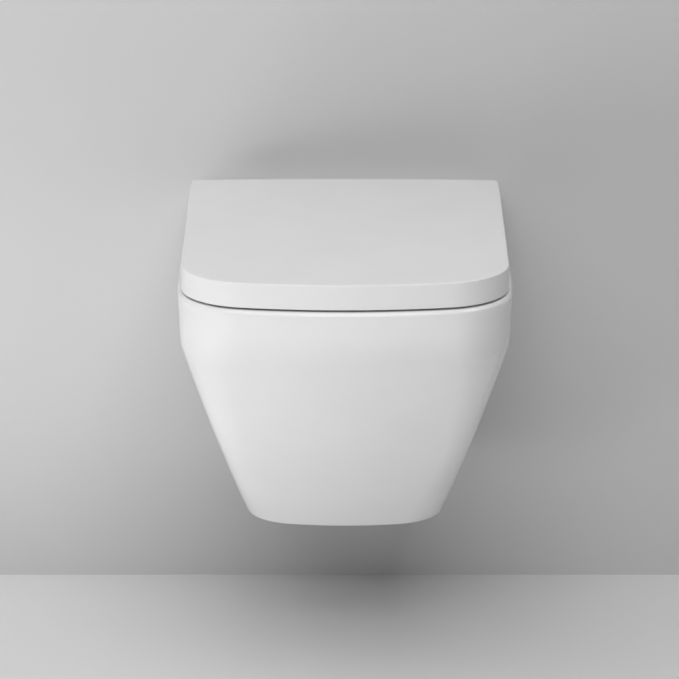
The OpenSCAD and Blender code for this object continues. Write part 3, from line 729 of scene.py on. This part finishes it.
# ---------------------------------------------------------------- materials
class Nodes:
    """A small helper round one material's or world's node tree."""

    def __init__(self, owner, output="ShaderNodeOutputMaterial"):
        owner.use_nodes = True
        self.owner = owner
        self.tree = owner.node_tree
        self.tree.nodes.clear()
        self.out = self.add(output)

    def add(self, kind, **values):
        """New node; values are its sockets' defaults (spaces written as _) or its settings."""
        node = self.tree.nodes.new(kind)
        for key, value in values.items():
            socket = key.replace("_", " ")
            if socket in node.inputs:
                node.inputs[socket].default_value = value
            else:
                setattr(node, key, value)
        return node

    def link(self, a, b):
        self.tree.links.new(a, b)

    def coords(self):
        if not hasattr(self, "_coords"):
            self._coords = self.add("ShaderNodeTexCoord").outputs["Object"]
        return self._coords

    def noise(self, scale, detail, rough=0.5, coords=None):
        tex = self.add("ShaderNodeTexNoise", Scale=scale, Detail=detail, Roughness=rough)
        self.link(coords or self.coords(), tex.inputs["Vector"])
        return tex.outputs["Fac"]

    def span(self, value, lo, hi, from_lo=0.3, from_hi=0.7):
        m = self.add("ShaderNodeMapRange", From_Min=from_lo, From_Max=from_hi,
                     To_Min=lo, To_Max=hi)
        self.link(value, m.inputs["Value"])
        return m.outputs["Result"]

    def math(self, kind, a, b):
        m = self.add("ShaderNodeMath", operation=kind)
        for socket, value in zip(m.inputs, (a, b)):
            if isinstance(value, float):
                socket.default_value = value
            else:
                self.link(value, socket)
        return m.outputs[0]

    def blend(self, fac, a, b, kind="RGBA"):
        """Mix of two sockets or constants of one kind."""
        m = self.add("ShaderNodeMix", data_type=kind)
        for key, value in (("A", a), ("B", b)):
            if isinstance(value, tuple):
                m.inputs[key].default_value = (*value, 1)
            elif isinstance(value, float):
                m.inputs[key].default_value = value
            else:
                self.link(value, m.inputs[key])
        self.link(fac, m.inputs["Factor"])
        return m.outputs["Result"]

    def mottle(self, noise, a, b):
        """Colour between a and b by a noise."""
        return self.blend(self.span(noise, 0, 1), a, b)

    def bump(self, height, distance, strength):
        b = self.add("ShaderNodeBump", Strength=strength, Distance=distance)
        self.link(height, b.inputs["Height"])
        return b.outputs["Normal"]

    def choose(self, fac, a, b):
        """Mix of two shaders, sent to the output."""
        mix = self.add("ShaderNodeMixShader")
        self.link(fac, mix.inputs[0])
        self.link(a, mix.inputs[1])
        self.link(b, mix.inputs[2])
        self.link(mix.outputs[0], self.out.inputs["Surface"])

    def shader(self, color, rough, normal, **fixed):
        p = self.add("ShaderNodeBsdfPrincipled", **fixed)
        self.link(color, p.inputs["Base Color"])
        if isinstance(rough, float):
            p.inputs["Roughness"].default_value = rough
        else:
            self.link(rough, p.inputs["Roughness"])
        self.link(normal, p.inputs["Normal"])
        self.link(p.outputs["BSDF"], self.out.inputs["Surface"])
        return p.outputs["BSDF"]


def material(name):
    return Nodes(bpy.data.materials.new(name))


def grey(value):
    return (value, value, value)


def china(name):
    n = material(name)
    glaze = n.mottle(n.noise(9.0, 3.0), grey(0.845), grey(0.87))
    # the back is left unglazed where it meets the wall
    xyz = n.add("ShaderNodeSeparateXYZ")
    n.link(n.coords(), xyz.inputs["Vector"])
    bare = n.span(xyz.outputs["Y"], 0.0, 1.0, -0.0014, -0.0004)
    biscuit = n.blend(n.noise(160.0, 5.0), (0.74, 0.72, 0.68), (0.8, 0.785, 0.75))
    color = n.blend(bare, glaze, biscuit)
    rough = n.blend(bare, n.span(n.noise(9.0, 2.0), 0.14, 0.18), 0.7, "FLOAT")
    n.shader(color, rough, n.bump(n.noise(8.0, 0.0), 0.0003, 0.1), IOR=1.45)
    return n.owner


def duroplast(name, lo, hi):
    n = material(name)
    color = n.mottle(n.noise(14.0, 3.0), grey(lo), grey(hi))
    rough = n.span(n.noise(7.0, 2.0), 0.16, 0.2)
    n.shader(color, rough, n.bump(n.noise(6.0, 0.0), 0.0002, 0.1), IOR=1.45)
    return n.owner


def plastic(name, a, b, rough):
    n = material(name)
    color = n.mottle(n.noise(60.0, 2.0), a, b)
    n.shader(color, n.span(n.noise(90.0, 2.0), *rough),
             n.bump(n.noise(900.0, 1.0), 0.00001, 0.2), IOR=1.5)
    return n.owner


def rubber(name, a, b):
    n = material(name)
    color = n.mottle(n.noise(200.0, 5.0), a, b)
    n.shader(color, n.span(n.noise(300.0, 4.0), 0.62, 0.8),
             n.bump(n.noise(1500.0, 4.0), 0.00003, 0.6), IOR=1.5)
    return n.owner


def metal(name, a, b, rough, grain):
    n = material(name)
    stretch = n.add("ShaderNodeMapping", Scale=grain)
    n.link(n.coords(), stretch.inputs["Vector"])
    lines = n.noise(1.0, 4.0, 0.6, stretch.outputs["Vector"])
    color = n.mottle(lines, a, b)
    n.shader(color, n.span(lines, *rough), n.bump(lines, 0.00001, 0.4), Metallic=1.0)
    return n.owner


BRASS = (0.62, 0.45, 0.2), (0.7, 0.52, 0.26)
# noise scales along x, y and z: lines along y or x, rings about z or x, or no grain
GRAIN_Y, GRAIN_X = (700.0, 30.0, 700.0), (30.0, 700.0, 700.0)
RINGS_Z, RINGS_X, EVEN = (30.0, 30.0, 900.0), (900.0, 40.0, 40.0), (60.0, 60.0, 60.0)
LOOKS = {
    "china": (china,),
    "lid_duroplast": (duroplast, 0.84, 0.86),
    "duroplast": (duroplast, 0.83, 0.85),
    "distributor": (plastic, grey(0.8), grey(0.84), (0.25, 0.35)),
    "cap_white": (plastic, grey(0.82), grey(0.85), (0.22, 0.3)),
    "bush_nylon": (plastic, (0.66, 0.65, 0.6), (0.72, 0.71, 0.66), (0.5, 0.6)),
    "damper_grey": (plastic, (0.03, 0.03, 0.032), (0.05, 0.05, 0.052), (0.45, 0.55)),
    "button_grey": (plastic, (0.3, 0.31, 0.32), (0.34, 0.35, 0.36), (0.3, 0.4)),
    "pad_rubber": (rubber, (0.58, 0.58, 0.56), (0.64, 0.64, 0.62)),
    "gasket_rubber": (rubber, grey(0.02), grey(0.035)),
    "expansion_rubber": (rubber, grey(0.02), grey(0.03)),
    "sleeve_steel": (metal, (0.55, 0.56, 0.58), (0.64, 0.65, 0.66), (0.3, 0.42), GRAIN_Y),
    "screw_steel": (metal, (0.5, 0.5, 0.52), (0.6, 0.6, 0.62), (0.3, 0.4), GRAIN_X),
    "post_steel": (metal, (0.58, 0.58, 0.59), (0.68, 0.68, 0.69), (0.18, 0.28), RINGS_Z),
    "pin_steel": (metal, (0.58, 0.58, 0.6), (0.66, 0.66, 0.68), (0.2, 0.3), RINGS_X),
    "rotor_steel": (metal, (0.55, 0.55, 0.57), (0.64, 0.64, 0.66), (0.2, 0.3), RINGS_X),
    "clip_steel": (metal, (0.5, 0.5, 0.52), (0.6, 0.6, 0.62), (0.25, 0.35), RINGS_Z),
    "hinge_chrome": (metal, (0.66, 0.67, 0.69), (0.7, 0.71, 0.73), (0.06, 0.1), EVEN),
    "guide_brass": (metal, *BRASS, (0.25, 0.35), RINGS_Z),
    "nut_brass": (metal, *BRASS, (0.25, 0.35), RINGS_Z),
}
MATERIALS = {name: kind(name, *values) for name, (kind, *values) in LOOKS.items()}
SLOT_OF = {part["node"]: part["material_slot"] for part in frame["record"]["subparts"]}


def dress(obj, mat):
    obj.data.materials.clear()
    obj.data.materials.append(mat)


for name, slot in MADE.items():
    dress(bpy.data.objects[name], MATERIALS[slot])
for node, obj in frame["nodes"].items():
    if not obj.hide_render:
        dress(obj, MATERIALS[SLOT_OF[node]])
        smooth(obj, 30)


# ---------------------------------------------------------------- room, in metres
WALL_Y, WALL_TOP, WALL_HALF, FLOOR_HALF = 0.0012, 3.5, 4, 8
WALL_SPLIT = -0.25  # above it the wall is open near
NEAR_WALL = 0.09
FLOOR = FLOOR_Z * MM


def plane(name, corners, mat):
    mesh = bpy.data.meshes.new(name)
    mesh.from_pydata(corners, [], [(0, 1, 2, 3)])
    obj = bpy.data.objects.new(name, mesh)
    bpy.context.collection.objects.link(obj)
    dress(obj, mat)


def plaster(name, value, one_sided=False, open_near=False):
    """Painted plaster. A one-sided wall is seen only from the room. Where it is open near, light
    that leaves a surface close to it passes, so that it doesn't shade the pan's back."""
    n = material(name)
    color = n.mottle(n.noise(2.5, 4.0), grey(value * 0.985), grey(value))
    paint = n.shader(color, 0.75, n.bump(n.noise(220.0, 4.0), 0.0002, 0.15),
                     Specular_IOR_Level=0.0)
    if one_sided:
        gone = n.add("ShaderNodeNewGeometry").outputs["Backfacing"]
        if open_near:
            path = n.add("ShaderNodeLightPath").outputs
            near = n.math("LESS_THAN", path["Ray Length"], NEAR_WALL)
            light = n.math("MAXIMUM", path["Is Diffuse Ray"], path["Is Shadow Ray"])
            gone = n.math("MAXIMUM", gone, n.math("MULTIPLY", near, light))
        n.choose(gone, paint, n.add("ShaderNodeBsdfTransparent").outputs[0])
    return n.owner


def wall(part, z0, z1, open_near):
    corners = [(-WALL_HALF, WALL_Y, z0), (WALL_HALF, WALL_Y, z0),
               (WALL_HALF, WALL_Y, z1), (-WALL_HALF, WALL_Y, z1)]
    plane("room_wall_" + part, corners, plaster("wall_plaster_" + part, 0.63, True, open_near))


wall("low", FLOOR, WALL_SPLIT, False)
wall("high", WALL_SPLIT, WALL_TOP, True)
plane("room_floor", [(x * FLOOR_HALF, y * FLOOR_HALF, FLOOR)
                     for x, y in ((-1, -1), (1, -1), (1, 1), (-1, 1))],
      plaster("floor_plaster", 0.78))


# ---------------------------------------------------------------- light, in metres and watts
def area(name, loc, target, size, power):
    data = bpy.data.lights.new(name, "AREA")
    data.shape = "RECTANGLE"
    data.size, data.size_y = size
    data.energy = power
    obj = bpy.data.objects.new(name, data)
    bpy.context.collection.objects.link(obj)
    obj.location = loc
    obj.rotation_euler = (Vector(target) - Vector(loc)).to_track_quat("-Z", "Y").to_euler()
    return obj


MIDDLE, RIGHT_CORNER = (0, -0.2, -0.05), (0.15, -0.5, 0.1)
area("overhead", (-0.5, -2.4, 2.6), MIDDLE, (3.2, 3.0), 56.5)
area("high_front", (0.2, -2.6, 2.8), MIDDLE, (1.8, 1.8), 22)
area("high_right", (2.4, -1.3, 2.0), MIDDLE, (1.4, 1.4), 2.5)
# seen only in the gloss of the edges at the right corner
card = area("right_card", (1.7, -0.75, 2.3), RIGHT_CORNER, (1.6, 0.8), 24)
card.visible_diffuse = False
area("top", (0, -0.9, 2.4), MIDDLE, (1.6, 1.2), 6)
area("left_side", (-2.6, -0.9, 0.5), MIDDLE, (1.2, 1.6), 1.2).visible_glossy = False
area("left_low", (-1.4, -1.8, -0.2), MIDDLE, (0.8, 0.3), 5).visible_glossy = False
area("back", (-1.4, 2.6, 1.0), MIDDLE, (2.2, 2.2), 30)
# the floor's own light on the pan's underside
for x, y, width, power in ((-0.9, -0.7, 0.9, 4.8), (0, -0.9, 1.6, 0.8), (0, -1.9, 2.6, 2)):
    glow = area("floor_light", (x, y, -0.39), (x, y, 1), (width, 0.8), power)
    glow.visible_camera = False
    glow.visible_glossy = False

# the world gives little light, and camera, gloss and transmission see it pale
world = bpy.data.worlds.new("world")
bpy.context.scene.world = world
n = Nodes(world, "ShaderNodeOutputWorld")
ambient = n.add("ShaderNodeBackground", Color=(1, 1, 1, 1), Strength=0.03)
seen = n.add("ShaderNodeBackground", Color=(0.82, 0.82, 0.82, 1), Strength=1.0)
path = n.add("ShaderNodeLightPath").outputs
rays = path["Is Camera Ray"]
for kind in ("Is Glossy Ray", "Is Transmission Ray"):
    rays = n.math("MAXIMUM", rays, path[kind])
n.choose(rays, ambient.outputs[0], seen.outputs[0])

bpy.context.scene.view_settings.view_transform = "Standard"
